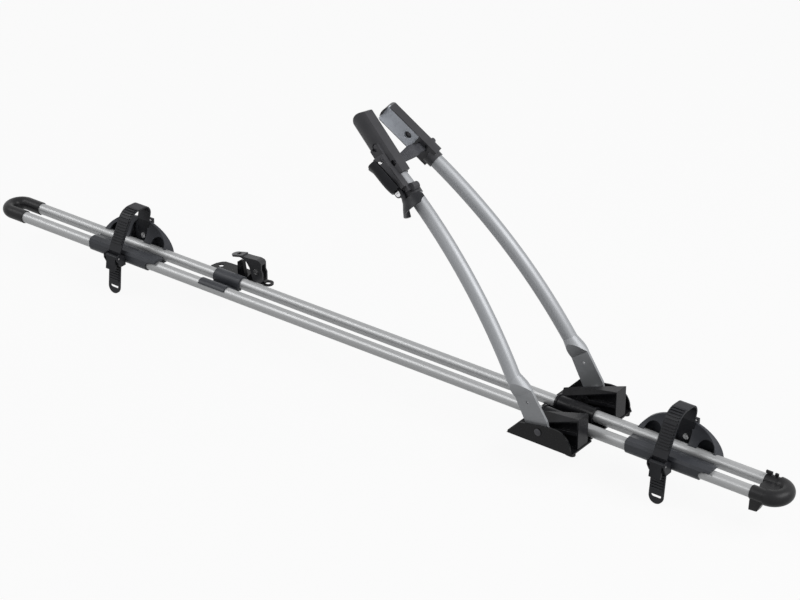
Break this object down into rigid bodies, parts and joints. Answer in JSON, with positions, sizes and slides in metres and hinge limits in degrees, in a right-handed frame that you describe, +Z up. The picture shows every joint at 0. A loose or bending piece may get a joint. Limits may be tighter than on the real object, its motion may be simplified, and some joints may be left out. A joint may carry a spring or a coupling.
{
  "type": "roof mounted bike carrier",
  "caption": "Roof carrier for one bicycle: twin rails, folding frame arms with clamp jaws, wheel holders with ratchet straps, and a rear foot.",
  "frame": {"origin": "centre of the front base's underside seat, between the two crossbar bolt holes", "axes": "+X forwards along the rails, +Y across them to the far side, +Z up"},
  "size_m": [1.49, 0.166, 0.4516],
  "materials": {
    "rail_aluminium": "satin anodised",
    "arm_aluminium": "satin anodised",
    "black_steel": "gloss black powder coat",
    "base_plastic": "glossy black moulding",
    "holder_plastic": "fine moulded texture",
    "charcoal_plastic": "satin moulding",
    "strap_plastic": "toothed nylon",
    "pad_rubber": "speckled grey rubber",
    "band_rubber": "ribbed dark rubber",
    "bolt_steel": "zinc plated",
    "lock_chrome": "polished"
  },
  "bodies": {
    "frame": {"rail_near": "rail_aluminium", "rail_far": "rail_aluminium", "rear_end_cap": "base_plastic", "front_end_cap": "base_plastic", "base_plate": "black_steel", "base_sleeve_near": "base_plastic", "base_sleeve_far": "base_plastic", "casing_near": "base_plastic", "casing_far": "base_plastic", "base_foot_pads": "strap_plastic", "fold_bolt_near": "bolt_steel", "fold_bolt_far": "bolt_steel", "fold_nuts": "bolt_steel", "casing_screws": "bolt_steel"},
    "near_arm": {"arm_near": "arm_aluminium", "jaw_near": "charcoal_plastic", "pad_near": "pad_rubber", "jaw_bolts_near": "bolt_steel", "link_band": "band_rubber", "clamp_housing": "charcoal_plastic", "clamp_rivet": "bolt_steel", "lever_pin": "bolt_steel"},
    "far_arm": {"arm_far": "arm_aluminium", "jaw_far": "charcoal_plastic", "pad_far": "pad_rubber", "jaw_bolts_far": "bolt_steel"},
    "lever": {"clamp_lever": "base_plastic"},
    "lock": {"lock_cylinder": "lock_chrome"},
    "front_wheel_holder": {"front_holder": "holder_plastic", "front_strap": "strap_plastic", "front_buckle": "strap_plastic", "front_buckle_pin": "bolt_steel", "front_keeper": "holder_plastic", "front_strap_rivet": "bolt_steel"},
    "front_latch": {"front_buckle_lever": "strap_plastic"},
    "rear_wheel_holder": {"rear_holder": "holder_plastic", "rear_strap": "strap_plastic", "rear_buckle": "strap_plastic", "rear_buckle_pin": "bolt_steel", "rear_keeper": "holder_plastic", "rear_strap_rivet": "bolt_steel"},
    "rear_latch": {"rear_buckle_lever": "strap_plastic"},
    "rear_foot": {"foot_saddle": "base_plastic", "foot_plate": "black_steel", "foot_rivets": "bolt_steel", "foot_bracket": "black_steel", "cam_pin": "bolt_steel"},
    "foot_cam": {"cam_lever": "base_plastic"}
  },
  "joints": [
    {"name": "arm_fold", "type": "hinge", "parent": "frame", "child": "near_arm", "pos_m": [-0.002, 0, 0.0225], "axis": [0, 1, 0], "range_deg": [-42, 10]},
    {"name": "jaw_open", "type": "hinge", "parent": "near_arm", "child": "far_arm", "pos_m": [-0.002, 0.071, 0.0225], "axis": [0.766, 0, 0.6428], "range_deg": [-3, 2.8], "deforming": ["link_band"]},
    {"name": "clamp_swing", "type": "hinge", "parent": "near_arm", "child": "lever", "pos_m": [-0.29969, -0.05268, 0.34877], "axis": [-0.6239, 0, -0.7815], "range_deg": [0, 80]},
    {"name": "lock_turn", "type": "hinge", "parent": "lever", "child": "lock", "pos_m": [-0.26463, -0.0588, 0.31311], "axis": [0.1196, 0.9882, -0.0954], "range_deg": [0, 90]},
    {"name": "front_holder_slide", "type": "slide", "parent": "frame", "child": "front_wheel_holder", "axis": [1, 0, 0], "range_m": [-0.03, 0.035]},
    {"name": "front_latch_tip", "type": "hinge", "parent": "front_wheel_holder", "child": "front_latch", "pos_m": [0.1765, -0.0451, 0.021], "axis": [-1, 0, 0], "range_deg": [0, 25], "stiffness_Nm_per_rad": 0.02},
    {"name": "rear_holder_slide", "type": "slide", "parent": "frame", "child": "rear_wheel_holder", "axis": [1, 0, 0], "range_m": [-0.137, 0.015]},
    {"name": "rear_latch_tip", "type": "hinge", "parent": "rear_wheel_holder", "child": "rear_latch", "pos_m": [-0.8475, -0.0451, 0.021], "axis": [-1, 0, 0], "range_deg": [0, 25], "stiffness_Nm_per_rad": 0.02},
    {"name": "rear_foot_slide", "type": "slide", "parent": "frame", "child": "rear_foot", "axis": [1, 0, 0], "range_m": [-0.03, 0.085]},
    {"name": "cam_swing", "type": "hinge", "parent": "rear_foot", "child": "foot_cam", "pos_m": [-0.6275, 0.0545, 0.025], "axis": [0, 1, 0], "range_deg": [0, 75]}
  ]
}
